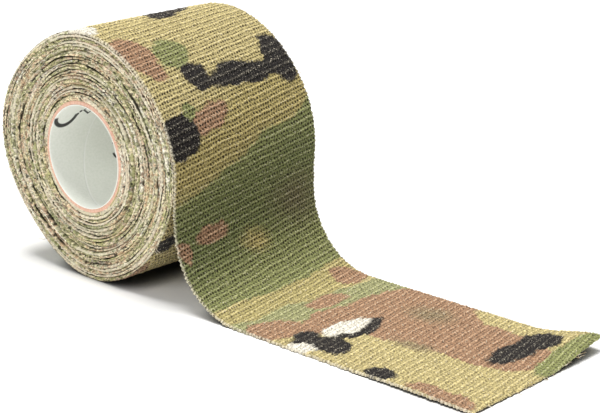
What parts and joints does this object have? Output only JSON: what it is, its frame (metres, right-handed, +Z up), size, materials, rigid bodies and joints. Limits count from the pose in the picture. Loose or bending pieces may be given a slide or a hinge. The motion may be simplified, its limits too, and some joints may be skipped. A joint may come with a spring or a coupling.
{
  "type": "self-cling fabric tape roll",
  "caption": "Roll of ribbed self-cling camouflage fabric tape on a paperboard core, lying on its rim with its free end run out along the floor.",
  "frame": {"origin": "middle of the roll's bore, half way across the strip's width", "axes": "+Y along the bore's axis, +X the way the free end runs out, +Z up from the floor that the roll lies on"},
  "size_m": [0.1623, 0.0508, 0.0662],
  "materials": {
    "camo_fabric": "matte",
    "paperboard": "matte",
    "liner_paper": "matte",
    "glue": "satin"
  },
  "bodies": {
    "roll": {"core_tube": "paperboard", "printed_liner": "liner_paper", "starter_glue_line": "glue", "wound_tape": "camo_fabric"},
    "outer_turn_1": {"outer_turn_1": "camo_fabric"},
    "outer_turn_2": {"outer_turn_2": "camo_fabric"},
    "outer_turn_3": {"outer_turn_3": "camo_fabric"},
    "drop_link": {"drop_link": "camo_fabric"},
    "bend_1": {"bend_1": "camo_fabric"},
    "bend_2": {"bend_2": "camo_fabric"},
    "bend_3": {"bend_3": "camo_fabric"},
    "tail_1": {"tail_1": "camo_fabric"},
    "tail_2": {"tail_2": "camo_fabric"},
    "tail_3": {"tail_3": "camo_fabric"},
    "tail_4": {"tail_4": "camo_fabric"},
    "tail_5": {"tail_5": "camo_fabric"},
    "tail_6": {"tail_6": "camo_fabric"},
    "tail_7": {"tail_7": "camo_fabric"},
    "tail_8": {"tail_8": "camo_fabric"},
    "tail_9": {"tail_9": "camo_fabric"},
    "tail_10": {"tail_10": "camo_fabric"},
    "tail_11": {"tail_11": "camo_fabric"},
    "tail_12": {"tail_12": "camo_fabric"}
  },
  "joints": [
    {"name": "peel_hinge_1", "type": "hinge", "parent": "roll", "child": "outer_turn_1", "pos_m": [0.00459, 0, 0.03269], "axis": [0, -1, 0], "range_deg": [0, 17.1], "stiffness_Nm_per_rad": 0.00002},
    {"name": "peel_hinge_2", "type": "hinge", "parent": "outer_turn_1", "child": "outer_turn_2", "pos_m": [0.0206, 0, 0.02637], "axis": [0, -1, 0], "range_deg": [0, 27.8], "stiffness_Nm_per_rad": 0.00002},
    {"name": "peel_hinge_3", "type": "hinge", "parent": "outer_turn_2", "child": "outer_turn_3", "pos_m": [0.03211, 0, 0.01297], "axis": [0, -1, 0], "range_deg": [0, 33.34], "stiffness_Nm_per_rad": 0.00002},
    {"name": "drop_hinge", "type": "hinge", "parent": "outer_turn_3", "child": "drop_link", "pos_m": [0.0344, 0, -0.00483], "axis": [0, -1, 0], "range_deg": [0, 7.4], "stiffness_Nm_per_rad": 0.00002},
    {"name": "bend_hinge_1", "type": "hinge", "parent": "drop_link", "child": "bend_1", "pos_m": [0.0344, 0, -0.01175], "axis": [0, -1, 0], "range_deg": [-15, 0], "stiffness_Nm_per_rad": 0.00002},
    {"name": "bend_hinge_2", "type": "hinge", "parent": "bend_1", "child": "bend_2", "pos_m": [0.03721, 0, -0.02225], "axis": [0, -1, 0], "range_deg": [-30, 0], "stiffness_Nm_per_rad": 0.00002},
    {"name": "bend_hinge_3", "type": "hinge", "parent": "bend_2", "child": "bend_3", "pos_m": [0.0449, 0, -0.02993], "axis": [0, -1, 0], "range_deg": [-30, 0], "stiffness_Nm_per_rad": 0.00002},
    {"name": "bend_hinge_4", "type": "hinge", "parent": "bend_3", "child": "tail_1", "pos_m": [0.0554, 0, -0.03275], "axis": [0, -1, 0], "range_deg": [-15, 0], "stiffness_Nm_per_rad": 0.00002},
    {"name": "tail_hinge_1", "type": "hinge", "parent": "tail_1", "child": "tail_2", "pos_m": [0.0615, 0, -0.03275], "axis": [0, -1, 0], "range_deg": [0, 12], "stiffness_Nm_per_rad": 0.00002},
    {"name": "tail_hinge_2", "type": "hinge", "parent": "tail_2", "child": "tail_3", "pos_m": [0.0676, 0, -0.03275], "axis": [0, -1, 0], "range_deg": [0, 12], "stiffness_Nm_per_rad": 0.00002},
    {"name": "tail_hinge_3", "type": "hinge", "parent": "tail_3", "child": "tail_4", "pos_m": [0.0737, 0, -0.03275], "axis": [0, -1, 0], "range_deg": [0, 12], "stiffness_Nm_per_rad": 0.00002},
    {"name": "tail_hinge_4", "type": "hinge", "parent": "tail_4", "child": "tail_5", "pos_m": [0.0798, 0, -0.03275], "axis": [0, -1, 0], "range_deg": [0, 12], "stiffness_Nm_per_rad": 0.00002},
    {"name": "tail_hinge_5", "type": "hinge", "parent": "tail_5", "child": "tail_6", "pos_m": [0.0859, 0, -0.03275], "axis": [0, -1, 0], "range_deg": [0, 12], "stiffness_Nm_per_rad": 0.00002},
    {"name": "tail_hinge_6", "type": "hinge", "parent": "tail_6", "child": "tail_7", "pos_m": [0.092, 0, -0.03275], "axis": [0, -1, 0], "range_deg": [0, 12], "stiffness_Nm_per_rad": 0.00002},
    {"name": "tail_hinge_7", "type": "hinge", "parent": "tail_7", "child": "tail_8", "pos_m": [0.0981, 0, -0.03275], "axis": [0, -1, 0], "range_deg": [0, 12], "stiffness_Nm_per_rad": 0.00002},
    {"name": "tail_hinge_8", "type": "hinge", "parent": "tail_8", "child": "tail_9", "pos_m": [0.10419, 0, -0.03275], "axis": [0, -1, 0], "range_deg": [0, 12], "stiffness_Nm_per_rad": 0.00002},
    {"name": "tail_hinge_9", "type": "hinge", "parent": "tail_9", "child": "tail_10", "pos_m": [0.1103, 0, -0.03275], "axis": [0, -1, 0], "range_deg": [0, 12], "stiffness_Nm_per_rad": 0.00002},
    {"name": "tail_hinge_10", "type": "hinge", "parent": "tail_10", "child": "tail_11", "pos_m": [0.11639, 0, -0.03275], "axis": [0, -1, 0], "range_deg": [0, 12], "stiffness_Nm_per_rad": 0.00002},
    {"name": "tail_hinge_11", "type": "hinge", "parent": "tail_11", "child": "tail_12", "pos_m": [0.1225, 0, -0.03275], "axis": [0, -1, 0], "range_deg": [0, 12], "stiffness_Nm_per_rad": 0.00002}
  ],
  "couplings": [
    {"joint": "peel_hinge_1", "follows": "peel_hinge_3", "ratio": 0.5099},
    {"joint": "peel_hinge_2", "follows": "peel_hinge_3", "ratio": 0.8332},
    {"joint": "drop_hinge", "follows": "peel_hinge_3", "ratio": 0.2196},
    {"joint": "bend_hinge_1", "follows": "peel_hinge_3", "ratio": -0.4499},
    {"joint": "bend_hinge_2", "follows": "peel_hinge_3", "ratio": -0.8998},
    {"joint": "bend_hinge_3", "follows": "peel_hinge_3", "ratio": -0.8998},
    {"joint": "bend_hinge_4", "follows": "peel_hinge_3", "ratio": -0.4499},
    {"joint": "tail_hinge_2", "follows": "tail_hinge_1", "ratio": 1},
    {"joint": "tail_hinge_3", "follows": "tail_hinge_1", "ratio": 1},
    {"joint": "tail_hinge_4", "follows": "tail_hinge_1", "ratio": 1},
    {"joint": "tail_hinge_5", "follows": "tail_hinge_1", "ratio": 1},
    {"joint": "tail_hinge_6", "follows": "tail_hinge_1", "ratio": 1},
    {"joint": "tail_hinge_7", "follows": "tail_hinge_1", "ratio": 1},
    {"joint": "tail_hinge_8", "follows": "tail_hinge_1", "ratio": 1},
    {"joint": "tail_hinge_9", "follows": "tail_hinge_1", "ratio": 1},
    {"joint": "tail_hinge_10", "follows": "tail_hinge_1", "ratio": 1},
    {"joint": "tail_hinge_11", "follows": "tail_hinge_1", "ratio": 1}
  ]
}
